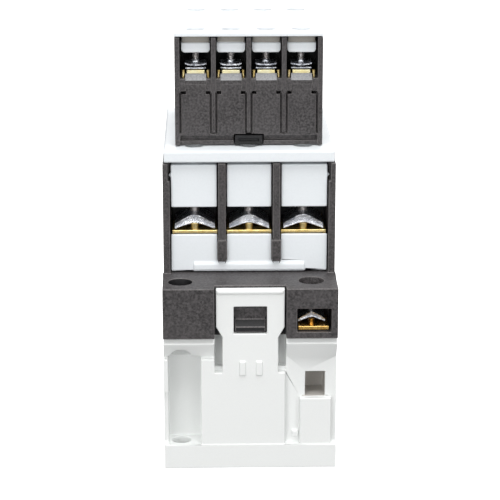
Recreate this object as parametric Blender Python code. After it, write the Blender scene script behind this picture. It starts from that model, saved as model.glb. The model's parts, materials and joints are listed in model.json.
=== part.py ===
"""Three-pole DIN-rail contactor with a four-pole auxiliary block clipped on its front.

Frame: origin at the bottom centre, +Z from the rail side to the front face, X across the width.
The line-side terminals face -Y.  The load side is the line side turned half a turn about Z.
Every length below is in millimetres; MM turns it into metres when a mesh is made.
"""
import math

import bmesh
import bpy
from mathutils import Matrix

MM = 0.001
GAP = 0.3            # air left between pieces that rest against each other
BEYOND = 1.0         # how far a cutter runs past the face it opens

# Overall sizes
WIDTH = 45.0
LENGTH = 82.0
BASE_TOP = 36.0
LEDGE_TOP = 49.4
MAIN_TOP = 78.9
COVER_TOP = 82.2
AUX_BOTTOM = 82.5
AUX_TOP = 111.0
PLATE_TOP = 112.0

HALF_W = WIDTH / 2
HALF_L = LENGTH / 2
BODY_X = HALF_W - 0.1
BASE_Y = HALF_L - 1.0        # face of the base flange
MAIN_Y = HALF_L - 14.0       # face of the main terminal section
AUX_X = 19.1
AUX_Y = HALF_L - 19.5        # face of the auxiliary block

# Main poles
PITCH = 14.15
POLES = (-PITCH, 0.0, PITCH)
FIN = 1.95
WALL_IN = 20.6               # inside of the outer walls
BAY_BACK = 14.0              # |y| where a terminal bay ends
BAR_ROOT = 15.0              # |y| where a terminal bar narrows into its tongue
ARC_Y = 12.0                 # |y| where an arc chamber ends
FIN_BOTTOM = 52.7
BLOCK_Y = MAIN_Y - 1.4       # face of the white terminal blocks
BAR_BOTTOM = 59.95           # main terminal bars
BAR_TOP = 60.7
CONTACT_TOP = 61.7           # tops of the fixed contact pads
UPPER_BOTTOM = 67.0          # underside of the upper white blocks
SCREW_Y = -20.0
SCREW_R = 1.4
HEAD_R = 2.7

# Coil terminal in the ledge block
COIL_X = 15.9
COIL_Y = -(HALF_L - 7.5)
COIL_SCREW_R = 1.15
WINDOW_X = (12.0, 20.8)
WINDOW_Z = (37.7, 44.0)
COIL_BAR = (37.95, 38.95)

# Mounting hole and its access hole in the ledge
MOUNT_X = -18.0
MOUNT_Y = -(HALF_L - 5.2)
MOUNT_R = 2.5
ACCESS_Y = -(HALF_L - 6.8)     # the access hole, a little behind the screw
ACCESS_R = 3.15
FLANGE = 6.5

# Latch tongue between the ledge blocks
BLOCK_GAP = 9.25             # half width of the notch between the ledge blocks
LATCH_X = 8.85
TONGUE_X = 7.2
LATCH_Y = (-(HALF_L - 1.2), -(HALF_L - 3.1))
LATCH_TOP = 48.9
TONGUE_FOOT = 26.3

# Rail channel under the base
RAIL_HALF = 17.7
ROOF = 6.6
HOOK_Z = (2.6, 5.0)
HOOK_REACH = 1.4

# Magnet
TRAVEL = 4.0
STACK = 7.0                  # half thickness of the laminated cores
CORE_TOP = 34.0
LIMB_OUT = (17.0, 24.0)
LIMB_MID = 5.0
ARMATURE_TOP = 47.0

# Auxiliary block
AUX_PITCH = 9.1
AUX_BAYS = (-1.5 * AUX_PITCH, -0.5 * AUX_PITCH, 0.5 * AUX_PITCH, 1.5 * AUX_PITCH)
AUX_FIN = 1.2
AUX_WALL_IN = 17.8
AUX_BAY_BACK = 9.8
AUX_SCREW_Y = -(AUX_Y - 6.0)
AUX_SCREW_R = 0.95
AUX_BAR = (100.7, 101.8)
AUX_BLOCK_BOTTOM = 106.5
AUX_NARROW = 2.65            # half width of the middle of each bay front
AUX_LEDGE = 100.0            # floor of the auxiliary terminal bays


# ---------------------------------------------------------------- meshes
def clear_scene():
    for obj in list(bpy.data.objects):
        bpy.data.objects.remove(obj, do_unlink=True)


def collection(name):
    made = bpy.data.collections.new(name)
    bpy.context.scene.collection.children.link(made)
    return made


def mesh_from(bm, name):
    mesh = bpy.data.meshes.new(name)
    bm.to_mesh(mesh)
    bm.free()
    return mesh


def box(x, y, z):
    """A box between the given limits on each axis."""
    spans = [(min(s), max(s)) for s in (x, y, z)]
    size = [(b - a) * MM for a, b in spans]
    centre = [(a + b) / 2 * MM for a, b in spans]
    bm = bmesh.new()
    bmesh.ops.create_cube(bm, size=1.0, matrix=Matrix.Translation(centre) @ Matrix.Diagonal((*size, 1.0)))
    return mesh_from(bm, "box")


def rod(x, y, z, radius, sides=20, top_radius=None):
    """An upright cylinder, or a cone when its top radius differs."""
    top = radius if top_radius is None else top_radius
    bm = bmesh.new()
    place = Matrix.Translation((x * MM, y * MM, (z[0] + z[1]) / 2 * MM))
    bmesh.ops.create_cone(bm, cap_ends=True, segments=sides, radius1=radius * MM, radius2=top * MM,
                          depth=(z[1] - z[0]) * MM, matrix=place)
    return mesh_from(bm, "rod")


def outline_mesh(points, thickness, place):
    """A flat outline, thickened evenly about its plane and set in place."""
    curve = bpy.data.curves.new("outline", "CURVE")
    curve.dimensions = "2D"
    curve.fill_mode = "BOTH"
    curve.extrude = thickness / 2 * MM
    line = curve.splines.new("POLY")
    line.points.add(len(points) - 1)
    for point, (u, v) in zip(line.points, points):
        point.co = (u * MM, v * MM, 0.0, 1.0)
    line.use_cyclic_u = True
    return curve_mesh(curve, place)


def curve_mesh(curve, place):
    """The closed mesh of a curve, with its caps welded on."""
    guide = bpy.data.objects.new("guide", curve)
    bpy.context.scene.collection.objects.link(guide)
    bpy.context.view_layer.update()
    mesh = bpy.data.meshes.new_from_object(guide.evaluated_get(bpy.context.evaluated_depsgraph_get()))
    bm = bmesh.new()
    bm.from_mesh(mesh)
    bmesh.ops.remove_doubles(bm, verts=bm.verts, dist=0.000001)
    bmesh.ops.recalc_face_normals(bm, faces=bm.faces)
    bm.transform(place)
    bm.to_mesh(mesh)
    bm.free()
    bpy.data.objects.remove(guide)
    bpy.data.curves.remove(curve)
    return mesh


def slab_xz(points, y):
    """An outline drawn in X and Z, running between two values of y."""
    middle = (y[0] + y[1]) / 2 * MM
    place = Matrix(((1, 0, 0, 0), (0, 0, -1, middle), (0, 1, 0, 0), (0, 0, 0, 1)))
    return outline_mesh(points, abs(y[1] - y[0]), place)


def slab_yz(points, x):
    """An outline drawn in Y and Z, running between two values of x."""
    middle = (x[0] + x[1]) / 2 * MM
    place = Matrix(((0, 0, 1, middle), (1, 0, 0, 0), (0, 1, 0, 0), (0, 0, 0, 1)))
    return outline_mesh(points, abs(x[1] - x[0]), place)


def turned(mesh):
    """The same mesh, half a turn about Z."""
    copy = mesh.copy()
    copy.transform(Matrix.Diagonal((-1, -1, 1, 1)))
    return copy


def both_ends(meshes):
    return meshes + [turned(mesh) for mesh in meshes]


def helix(centre, z, radius, wire, turns, axis="Z"):
    """A coil spring: a round wire at a fixed radius, rising evenly from end to end."""
    steps = 8
    count = int(turns * steps)
    low, high = z[0] + wire, z[1] - wire
    curve = bpy.data.curves.new("spring", "CURVE")
    curve.dimensions = "3D"
    curve.bevel_depth = wire * MM
    curve.bevel_resolution = 1
    curve.use_fill_caps = True
    line = curve.splines.new("POLY")
    line.points.add(count)
    for k, point in enumerate(line.points):
        angle = 2 * math.pi * k / steps
        rise = low + (high - low) * k / count
        point.co = (radius * math.cos(angle) * MM, radius * math.sin(angle) * MM, rise * MM, 1.0)
    place = Matrix.Translation([c * MM for c in centre])
    if axis == "Y":
        place = place @ Matrix(((1, 0, 0, 0), (0, 0, 1, 0), (0, -1, 0, 0), (0, 0, 0, 1)))
    return curve_mesh(curve, place)


def arc(cx, cz, radius, start, end, steps):
    """Points on a circle, from one angle to another in degrees."""
    angles = [math.radians(start + (end - start) * k / steps) for k in range(steps + 1)]
    return [(cx + radius * math.cos(a), cz + radius * math.sin(a)) for a in angles]


# ---------------------------------------------------------------- objects
def material(name, colour, roughness, metallic=0.0):
    made = bpy.data.materials.new(name)
    made.use_nodes = True
    shader = made.node_tree.nodes["Principled BSDF"]
    shader.inputs["Base Color"].default_value = (*colour, 1.0)
    shader.inputs["Roughness"].default_value = roughness
    shader.inputs["Metallic"].default_value = metallic
    return made


LOOKS = {
    "base_plastic": ((0.82, 0.84, 0.83), 0.45, 0.0),
    "dark_plastic": ((0.085, 0.078, 0.079), 0.55, 0.0),
    "white_plastic": ((0.78, 0.82, 0.85), 0.35, 0.0),
    "black_plastic": ((0.03, 0.03, 0.032), 0.5, 0.0),
    "brass": ((0.75, 0.58, 0.27), 0.3, 1.0),
    "zinc_steel": ((0.68, 0.68, 0.66), 0.35, 1.0),
    "core_steel": ((0.42, 0.41, 0.40), 0.45, 1.0),
    "copper": ((0.62, 0.26, 0.12), 0.4, 1.0),
    "former_plastic": ((0.12, 0.11, 0.10), 0.5, 0.0),
    "pad_rubber": ((0.05, 0.05, 0.05), 0.8, 0.0),
    "spring_steel": ((0.55, 0.55, 0.55), 0.3, 1.0),
}


def put(name, mesh, look, group, origin=(0.0, 0.0, 0.0)):
    """A finished object whose origin is at the given point of the frame."""
    point = [c * MM for c in origin]
    mesh.transform(Matrix.Translation([-c for c in point]))
    mesh.materials.clear()
    mesh.materials.append(material(name, *LOOKS[look]))
    mesh.name = name
    obj = bpy.data.objects.new(name, mesh)
    obj.location = point
    group.objects.link(obj)
    return obj


def boolean(mesh, operation, others):
    """The mesh joined with, or cut by, all of the others at once."""
    obj = bpy.data.objects.new("draft", mesh)
    bpy.context.scene.collection.objects.link(obj)
    group = bpy.data.collections.new("guides")
    bpy.context.scene.collection.children.link(group)
    guides = [bpy.data.objects.new("guide", other) for other in others]
    for guide in guides:
        group.objects.link(guide)
    step = obj.modifiers.new(operation, "BOOLEAN")
    step.operation = operation
    step.operand_type = "COLLECTION"
    step.solver = "EXACT"
    step.collection = group
    bpy.context.view_layer.update()
    done = bpy.data.meshes.new_from_object(obj.evaluated_get(bpy.context.evaluated_depsgraph_get()))
    for used in [obj] + guides:
        bpy.data.objects.remove(used)
    bpy.data.collections.remove(group)
    return done


def shape(adds, cuts, late=()):
    """The added shapes joined, less the cutting shapes, with the late shapes joined afterwards."""
    mesh = boolean(adds[0], "UNION", adds[1:]) if adds[1:] else adds[0]
    if cuts:
        mesh = boolean(mesh, "DIFFERENCE", cuts)
    if late:
        mesh = boolean(mesh, "UNION", late)
    bm = bmesh.new()
    bm.from_mesh(mesh)
    bmesh.ops.remove_doubles(bm, verts=bm.verts, dist=0.000002)
    bmesh.ops.dissolve_degenerate(bm, edges=bm.edges, dist=0.000002)
    bmesh.ops.dissolve_limit(bm, angle_limit=0.002, verts=bm.verts, edges=bm.edges)
    bmesh.ops.triangulate(bm, faces=bm.faces)
    bm.to_mesh(mesh)
    bm.free()
    return mesh


def combine(name, adds, cuts, look, origin=(0.0, 0.0, 0.0), late=()):
    return put(name, shape(adds, cuts, late), look, PARTS, origin)


def at_end(end, name, adds, cuts, look, centre):
    """A solid drawn at the line side, set there or turned round to the load side."""
    if end == "load":
        adds = [turned(mesh) for mesh in adds]
        cuts = [turned(mesh) for mesh in cuts]
        centre = (-centre[0], -centre[1], centre[2])
    combine(name, adds, cuts, look, centre)


# ---------------------------------------------------------------- base
def wedge(x):
    """The sloping block above the base's end recesses."""
    face = -(HALF_L - 0.5)
    slope_foot = -(HALF_L - 3.0)
    back = -(HALF_L - 9.0)
    points = [(face + 1.0, BASE_TOP - GAP), (face, BASE_TOP - 1.6), (slope_foot, 30.3), (back, 30.3),
              (back, BASE_TOP - GAP)]
    return slab_yz(points, x)


def base_end():
    """Added and cut shapes of the -Y end of the base."""
    face = -BASE_Y
    flat = face + 2.0
    adds = [
        box((-BODY_X, BODY_X), (face, -24.0), (0.0, FLANGE)),
        box((-BODY_X, BODY_X), (flat, -24.0), (FLANGE - 1.0, BASE_TOP - GAP)),
        box((12.9, 21.0), (face + 0.4, flat + 1.0), (FLANGE - 1.0, 19.1)),
        wedge((-BODY_X, -BLOCK_GAP)),
        wedge((BLOCK_GAP, BODY_X)),
        slab_xz([(-BODY_X, FLANGE - 1.0), (9.0, FLANGE - 1.0), (9.0, TONGUE_FOOT), (TONGUE_X, TONGUE_FOOT),
                 (TONGUE_X, BASE_TOP), (LATCH_X, BASE_TOP + 2.8), (LATCH_X, LATCH_TOP),
                 (-LATCH_X, LATCH_TOP), (-LATCH_X, BASE_TOP + 2.8), (-TONGUE_X, BASE_TOP),
                 (-TONGUE_X, TONGUE_FOOT), (-BLOCK_GAP, TONGUE_FOOT), (-BLOCK_GAP, 30.0),
                 (-BODY_X, 30.0)], LATCH_Y),
    ]
    for x in (-2.0, 2.3):
        rib = [(face + 1.0, 30.0), (face - 0.2, 29.4), (face - 0.2, 25.7), (face + 1.0, 25.7)]
        adds.append(slab_yz(rib, (x - 0.8, x + 0.8)))
    adds.append(box((10.9, 12.5), (flat - 0.8, flat + 1.0), (8.2, 9.8)))
    cuts = [
        box((-21.3, -12.8), (face - BEYOND, -32.5), (FLANGE, 30.6)),
        box((-BODY_X - BEYOND, -20.0), (face - BEYOND, -38.6), (FLANGE + 0.4, 21.0)),
        rod(MOUNT_X, MOUNT_Y, (-BEYOND, FLANGE + BEYOND), MOUNT_R),
        rod(MOUNT_X, ACCESS_Y, (29.0, BASE_TOP + BEYOND), ACCESS_R),
        slab_xz(arc(MOUNT_X, 29.7, 3.0, 0, 345, 23), (face - BEYOND, ACCESS_Y - 0.3)),
        box((14.3, 19.4), (face - BEYOND, flat + 8.0), (19.3, 26.0)),
        box((-BLOCK_GAP, BLOCK_GAP), (LATCH_Y[1], LATCH_Y[1] + 2.4), (TONGUE_FOOT + 1.0, BASE_TOP + BEYOND)),
        box((-4.3, 4.3), (face - BEYOND, LATCH_Y[1] + BEYOND), (36.9, 44.3)),
    ]
    for side in (-1, 1):
        cuts.append(box((side * (TONGUE_X + 0.02), side * (BLOCK_GAP + 0.02)),
                        (face - BEYOND, LATCH_Y[1] + 0.5), (TONGUE_FOOT + 0.02, BASE_TOP)))
    return adds, cuts


def make_base():
    adds, cuts = base_end()
    body = box((-BODY_X, BODY_X), (-33.0, 33.0), (0.0, BASE_TOP - GAP))
    adds = [body] + both_ends(adds)
    cuts = both_ends(cuts)
    cuts += [
        box((-19.0, 19.0), (-26.0, 26.0), (9.5, BASE_TOP + BEYOND)),
        box((-WIDTH, WIDTH), (-RAIL_HALF + HOOK_REACH, RAIL_HALF), (-BEYOND, HOOK_Z[1])),
        box((-WIDTH, WIDTH), (-RAIL_HALF, RAIL_HALF), (HOOK_Z[1], ROOF)),
        box((-WIDTH, WIDTH), (-RAIL_HALF, RAIL_HALF), (-BEYOND, HOOK_Z[0])),
        box((-6.3, 6.3), (RAIL_HALF - BEYOND, 37.6), (-BEYOND, 5.4)),
        box((-8.3, 8.3), (RAIL_HALF - BEYOND, 37.6), (2.2, 5.4)),
        box((-4.3, 4.3), (37.0, HALF_L + BEYOND), (-BEYOND, 5.4)),
    ]
    spring_post = box((-1.6, 1.6), (32.0, 33.4), (1.6, 6.4))
    rail_pad = box((-BODY_X, BODY_X), (-15.5, 15.5), (ROOF - 0.2, ROOF + 0.4))
    combine("base_housing", adds, cuts, "base_plastic", late=[spring_post, rail_pad])


def make_din_clip():
    """The sliding foot that grips the rail's other edge, its spring, and the foot's spring pocket."""
    body = box((-6.0, 6.0), (RAIL_HALF - HOOK_REACH, 33.8), (0.8, 4.8))
    wings = box((-8.0, 8.0), (RAIL_HALF - 0.6, 33.2), (2.5, 4.6))
    tab = box((-4.0, 4.0), (33.0, HALF_L - 1.4), (0.9, 4.7))
    pocket = box((-2.2, 2.2), (24.0, 34.0), (1.0, 6.0))
    slot = box((-2.5, 2.5), (37.4, 38.4), (-BEYOND, 6.0))
    combine("din_clip", [body, wings, tab], [pocket, slot], "black_plastic", (0, 27.0, 2.8))
    spring = helix((0, 0, 3.0), (24.3, 31.7), 1.3, 0.25, 5, axis="Y")
    put("din_clip_spring", spring, "spring_steel", PARTS)


# ---------------------------------------------------------------- dark terminal housing
def bay_spans():
    """The X limits of the three bays between the walls and the fins."""
    edge = PITCH / 2
    inner = edge - FIN / 2
    outer = edge + FIN / 2
    return ((-WALL_IN, -outer), (-inner, inner), (outer, WALL_IN))


def housing_end():
    """Added and cut shapes of the -Y end of the dark terminal housing."""
    front = -HALF_L
    adds = [
        box((-HALF_W, -BLOCK_GAP), (front, -MAIN_Y + 1.0), (BASE_TOP, LEDGE_TOP)),
        box((BLOCK_GAP, HALF_W), (front, -MAIN_Y + 1.0), (BASE_TOP, LEDGE_TOP)),
        box((-BLOCK_GAP - 1.0, BLOCK_GAP + 1.0), (front + 3.4, -MAIN_Y + 1.0), (BASE_TOP, LEDGE_TOP)),
        slab_yz([(front + 4.0, 37.3), (front + 1.9, 37.3), (front + 1.9, 38.6), (front + 4.0, 41.0)],
                (-3.9, 3.9)),
    ]
    cuts = [
        rod(MOUNT_X, ACCESS_Y, (BASE_TOP - BEYOND, LEDGE_TOP + BEYOND), ACCESS_R),
        rod(COIL_X, COIL_Y, (WINDOW_Z[1] - BEYOND, LEDGE_TOP + BEYOND), 3.3),
        box(WINDOW_X, (front - BEYOND, front + 11.5), WINDOW_Z),
        rod(COIL_X, COIL_Y, (BASE_TOP - BEYOND, WINDOW_Z[0] + BEYOND), 1.6),
        box((13.7, 17.3), (front + 11.0, -24.0), (WINDOW_Z[0], 40.2)),
        box((-WALL_IN, WALL_IN), (-MAIN_Y - BEYOND, -BAY_BACK), (LEDGE_TOP, FIN_BOTTOM)),
    ]
    for low, high in bay_spans():
        cuts.append(box((low, high), (-MAIN_Y - BEYOND, -BAY_BACK), (LEDGE_TOP, MAIN_TOP + BEYOND)))
    for x in POLES:
        cuts.append(box((x - 4.3, x + 4.3), (-BAY_BACK - BEYOND, -ARC_Y + BEYOND), (59.2, 61.1)))
    for side in (-1, 1):
        cuts.append(box((side * (WALL_IN - 0.5), side * (WALL_IN + 0.5)), (-MAIN_Y - BEYOND, -MAIN_Y + 2.6),
                        (74.2, MAIN_TOP + BEYOND)))
    return adds, cuts


def fin_feet():
    """The wider rounded foot on the front edge of each fin of the -Y end."""
    feet = []
    for x in (-PITCH / 2, PITCH / 2):
        points = [(x - 1.25, 58.3), (x - 1.25, 53.4), (x - 0.8, 52.6), (x + 0.8, 52.6), (x + 1.25, 53.4),
                  (x + 1.25, 58.3)]
        feet.append(slab_xz(points, (-MAIN_Y - 0.08, -MAIN_Y + 1.1)))
    return feet


def make_terminal_housing():
    adds, cuts = housing_end()
    body = box((-BODY_X, BODY_X), (-MAIN_Y, MAIN_Y), (BASE_TOP, MAIN_TOP))
    adds = [body] + both_ends(adds)
    cuts = both_ends(cuts)
    cuts.append(box((-19.0, 19.0), (-25.0, 25.0), (BASE_TOP - BEYOND, 47.4)))
    cuts.append(box((-9.7, 9.7), (-3.4, 3.4), (46.0, LEDGE_TOP + BEYOND)))
    cuts.append(box((-WALL_IN, WALL_IN), (-3.5, 3.5), (LEDGE_TOP, MAIN_TOP + BEYOND)))
    for low, high in bay_spans():
        cuts.append(box((low, high), (-ARC_Y, ARC_Y), (LEDGE_TOP, MAIN_TOP + BEYOND)))
    combine("terminal_housing", adds, cuts, "dark_plastic", late=both_ends(fin_feet()))


# ---------------------------------------------------------------- white terminal blocks
def terminal_block(end):
    """The white blocks above and below the three terminals of one end, joined below the fins."""
    y = (-BLOCK_Y, -BAY_BACK - GAP)
    low_x = WALL_IN - GAP
    adds = [box((-low_x, low_x), y, (LEDGE_TOP + GAP, FIN_BOTTOM - GAP))]
    cuts = []
    for x, (low, high) in zip(POLES, bay_spans()):
        wide = (low - BEYOND, high + BEYOND)
        adds.append(box((low + GAP, high - GAP), y, (LEDGE_TOP + 1.0, MAIN_TOP - 0.6)))
        cuts.append(box(wide, (-MAIN_Y, -BAR_ROOT), (BAR_BOTTOM - GAP, UPPER_BOTTOM)))
        cuts.append(box((x - 4.3, x + 4.3), (-BAR_ROOT - BEYOND, -BAY_BACK),
                        (BAR_BOTTOM - GAP, BAR_TOP + GAP)))
        cuts.append(rod(x, SCREW_Y, (53.2, 61.0), SCREW_R + 0.5))
        cuts.append(rod(x, SCREW_Y, (UPPER_BOTTOM - BEYOND, MAIN_TOP), HEAD_R + 0.4))
        for side in (-1, 1):
            cuts.append(box((x + side * 5.0, x + side * 7.0), (-BLOCK_Y + 0.8, -BAR_ROOT), (57.6, BAR_TOP)))
    relief = [(-BLOCK_Y + 0.6, 52.3), (-BLOCK_Y, 52.3), (-BLOCK_Y - 0.5, 51.6), (-BLOCK_Y - 0.5, 50.0),
              (-BLOCK_Y + 0.6, 50.0)]
    adds.append(slab_yz(relief, (-14.5, 14.5)))
    for side in (-1, 1):
        nose = [(side * 20.0, 74.7), (side * 20.8, 75.4), (side * 20.8, 75.7), (side * 20.0, 76.4)]
        adds.append(slab_xz(nose, (-BLOCK_Y + 0.1, -BLOCK_Y + 0.9)))
    at_end(end, end + "_terminal_block", adds, cuts, "white_plastic", (0.0, 0.0, 0.0))


# ---------------------------------------------------------------- contacts
def main_contact(end, n, x):
    """One terminal bar: a clamping plate with edges turned down, and a tongue to the fixed contact."""
    front = -BLOCK_Y + 0.3
    adds = [
        box((x - 5.9, x + 5.9), (front, -BAR_ROOT - 0.3), (BAR_BOTTOM, BAR_TOP)),
        box((x - 4.0, x + 4.0), (-BAR_ROOT - 0.4, -4.2), (BAR_BOTTOM, BAR_TOP)),
        box((x - 2.6, x + 2.6), (-8.6, -4.8), (BAR_TOP - 0.2, CONTACT_TOP)),
    ]
    for side in (-1, 1):
        adds.append(box((x + side * 5.3, x + side * 5.9), (front + 0.8, -BAR_ROOT - 0.6), (58.0, BAR_TOP)))
    cuts = [rod(x, SCREW_Y, (57.0, 62.0), SCREW_R + 0.3, 16)]
    at_end(end, f"{end}_contact_{n}", adds, cuts, "brass", (x, SCREW_Y, BAR_TOP))


def coil_contact(end):
    """The coil terminal's bar, with a tail that reaches in over the coil former."""
    front = -HALF_L + 1.2
    adds = [box((12.3, 20.2), (front, front + 9.8), COIL_BAR),
            box((14.0, 17.0), (front + 9.3, -20.0), COIL_BAR)]
    cuts = [rod(COIL_X, COIL_Y, (36.5, 41.0), COIL_SCREW_R + 0.3, 16)]
    at_end(end, "coil_contact_" + end, adds, cuts, "brass", (COIL_X, COIL_Y, COIL_BAR[1]))


def aux_contact(end, n, x):
    """One bar of the auxiliary block, from its clamping plate to the fixed contact."""
    adds = [box((x - 2.3, x + 2.3), (-AUX_Y + 2.6, -AUX_BAY_BACK - 0.4), AUX_BAR),
            box((x - 2.0, x + 2.0), (-AUX_BAY_BACK - 1.0, -3.4), AUX_BAR)]
    cuts = [rod(x, AUX_SCREW_Y, (100.0, 103.0), AUX_SCREW_R + 0.25, 14)]
    at_end(end, f"aux_{end}_contact_{n}", adds, cuts, "brass", (x, AUX_SCREW_Y, AUX_BAR[1]))


# ---------------------------------------------------------------- screws and clamps
def screw_shapes(x, y, head, foot, head_r, shank_r):
    """A clamp screw: a head with a cross slot on a plain shank."""
    adds = [rod(x, y, head, head_r, 20), rod(x, y, (foot, head[0] + 0.2), shank_r, 14)]
    slot = (head[1] - 1.0, head[1] + BEYOND)
    cuts = [box((x - head_r, x + head_r), (y - 0.35, y + 0.35), slot),
            box((x - 0.35, x + 0.35), (y - head_r * 0.6, y + head_r * 0.6), slot)]
    return adds, cuts


def saddle_shape(x, y, size, foot, apex, rise, thick):
    """A bent saddle clamp: a shallow arch that stands on two short feet."""
    half, depth = size[0] / 2, size[1] / 2
    radius = (half * half + rise * rise) / (2 * rise)
    spread = math.degrees(math.asin(half / radius))
    outer = arc(x, apex - radius, radius, 90 + spread, 90 - spread, 8)
    inner_half = half - thick
    inner_rise = apex - thick * 1.6 - foot
    inner_radius = (inner_half ** 2 + inner_rise ** 2) / (2 * inner_rise)
    inner_spread = math.degrees(math.asin(inner_half / inner_radius))
    inner = arc(x, foot + inner_rise - inner_radius, inner_radius, 90 - inner_spread, 90 + inner_spread, 8)
    return slab_xz([(x - half, foot)] + outer + [(x + half, foot)] + inner, (y - depth, y + depth))


def main_clamping(end, n, x):
    """A loose screw over its own saddle clamp."""
    adds, cuts = screw_shapes(x, SCREW_Y, (72.0, 75.0), 58.0, HEAD_R, SCREW_R)
    at_end(end, f"{end}_screw_{n}", adds, cuts, "zinc_steel", (x, SCREW_Y, 73.5))
    saddle = saddle_shape(x, SCREW_Y, (10.4, 10.0), BAR_TOP + GAP, 64.8, 2.0, 1.1)
    hole = rod(x, SCREW_Y, (60.0, 66.0), SCREW_R + 0.35, 14)
    at_end(end, f"{end}_clamp_{n}", [saddle], [hole], "zinc_steel", (x, SCREW_Y, 62.8))


def coil_clamping(end):
    """The coil terminal's screw with its captive saddle."""
    adds, cuts = screw_shapes(COIL_X, COIL_Y, (45.0, 47.2), 37.0, 2.6, COIL_SCREW_R)
    adds.append(saddle_shape(COIL_X, COIL_Y, (6.9, 7.0), COIL_BAR[1] + GAP, 41.9, 1.3, 0.9))
    at_end(end, "coil_screw_" + end, adds, cuts, "zinc_steel", (COIL_X, COIL_Y, 46.0))


def aux_clamping(end, n, x):
    """An auxiliary terminal's screw with its captive clamping washer."""
    adds, cuts = screw_shapes(x, AUX_SCREW_Y, (106.6, 108.4), 99.4, 2.0, AUX_SCREW_R)
    adds.append(saddle_shape(x, AUX_SCREW_Y, (5.6, 6.0), AUX_BAR[1] + GAP, 104.0, 0.6, 0.7))
    at_end(end, f"aux_{end}_screw_{n}", adds, cuts, "zinc_steel", (x, AUX_SCREW_Y, 107.5))


def make_terminals():
    """Every terminal of one end, then of the other."""
    for end in ("line", "load"):
        terminal_block(end)
        coil_contact(end)
        coil_clamping(end)
        for n, x in enumerate(POLES, 1):
            main_contact(end, n, x)
            main_clamping(end, n, x)
        for n, x in enumerate(AUX_BAYS, 1):
            aux_contact(end, n, x)
            aux_clamping(end, n, x)


# ---------------------------------------------------------------- magnet
def e_core(yoke, limb_end):
    """An E-shaped stack seen from the side: a yoke with three limbs, extruded across the stack."""
    a, b = LIMB_OUT
    m = LIMB_MID
    root = yoke[1] if limb_end > yoke[1] else yoke[0]
    back = yoke[0] if limb_end > yoke[1] else yoke[1]
    points = [(-b, back), (b, back), (b, limb_end), (a, limb_end), (a, root), (m, root), (m, limb_end),
              (-m, limb_end), (-m, root), (-a, root), (-a, limb_end), (-b, limb_end)]
    return slab_yz(points, (-STACK, STACK))


def make_magnet():
    """The fixed core on its pad and the armature above it, each an E of laminations."""
    slots = [box((-STACK - BEYOND, STACK + BEYOND), (s * 19.6, s * 20.6), (32.4, CORE_TOP + BEYOND))
             for s in (-1, 1)]
    combine("fixed_core", [e_core((11.6, 17.6), CORE_TOP)], slots, "core_steel")
    key_slot = box((-STACK - BEYOND, STACK + BEYOND), (-1.8, 1.8), (43.7, 45.5))
    combine("armature", [e_core((42.0, ARMATURE_TOP), CORE_TOP + TRAVEL + 0.3)], [key_slot], "core_steel")
    put("core_pad", box((-6.0, 6.0), (-22.0, 22.0), (9.8, 11.3)), "pad_rubber", PARTS)


def make_coil():
    tube = box((-8.5, 8.5), (-6.5, 6.5), (18.2, 35.2))
    flanges = [box((-16.5, 16.5), (-16.4, 16.4), (18.0, 19.4)),
               box((-16.5, 16.5), (-16.4, 16.4), (33.6, 35.2))]
    hole = box((-7.3, 7.3), (-5.3, 5.3), (16.0, 37.0))
    combine("coil_bobbin", [tube] + flanges, [hole], "former_plastic")
    corner = 4.0
    outline = []
    for sx, sy, start in ((1, 1, 0), (-1, 1, 90), (-1, -1, 180), (1, -1, 270)):
        outline += arc(sx * (15.2 - corner), sy * (15.2 - corner), corner, start, start + 90, 4)
    place = Matrix.Translation((0, 0, 26.5 * MM))
    winding = outline_mesh(outline, 13.4, place)
    combine("coil_winding", [winding], [box((-8.8, 8.8), (-6.8, 6.8), (18.0, 35.0))], "copper")
    for n, y in enumerate((-11.0, 11.0), 1):
        put(f"return_spring_{n}", helix((0, y, 0), (35.5, 41.7), 2.6, 0.35, 4), "spring_steel", PARTS)


# ---------------------------------------------------------------- moving contacts
def make_carrier():
    """The crossbar that carries the bridges, its forked stem, the armature key and its head."""
    bar = box((-19.8, 19.8), (-3.0, 3.0), (62.0, 76.0))
    stem = box((-9.3, 9.3), (-3.0, 3.0), (42.5, 63.0))
    head = box((-4.0, 4.0), (-2.6, 2.6), (75.0, 83.4))
    key = box((-8.0, 8.0), (-1.4, 1.4), (44.0, 45.2))
    fork = box((-STACK - 0.4, STACK + 0.4), (-4.0, 4.0), (41.0, 48.4))
    windows = [box((x - 3.6, x + 3.6), (-4.0, 4.0), (66.4, 74.5)) for x in POLES]
    combine("contact_carrier", [bar, stem, head], [fork] + windows, "black_plastic", late=[key])
    for n, x in enumerate(POLES, 1):
        pads = [box((x - 2.4, x + 2.4), (s * 4.9, s * 8.5), (65.9, 66.9)) for s in (-1, 1)]
        adds = [box((x - 3.0, x + 3.0), (-9.6, 9.6), (66.7, 67.9))] + pads
        combine(f"bridge_contact_{n}", adds, [], "brass", (x, 0.0, 66.7))


def make_front_cover():
    """The white cover over the arc chambers, with driver holes and a window for the carrier head."""
    plate = box((-22.1, 22.1), (-MAIN_Y - 0.1, MAIN_Y + 0.1), (MAIN_TOP + GAP, COVER_TOP))
    plugs = [box((low + 0.4, high - 0.4), (s * 4.0, s * (ARC_Y - 0.4)), (77.4, MAIN_TOP + 1.0))
             for low, high in bay_spans() for s in (-1, 1)]
    cuts = [box((-4.6, 4.6), (-3.2, 3.2), (76.0, COVER_TOP + BEYOND))]
    cuts += both_ends([rod(x, SCREW_Y, (76.0, COVER_TOP + BEYOND), 2.2) for x in POLES])
    combine("front_cover", [plate] + plugs, cuts, "white_plastic")


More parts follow.
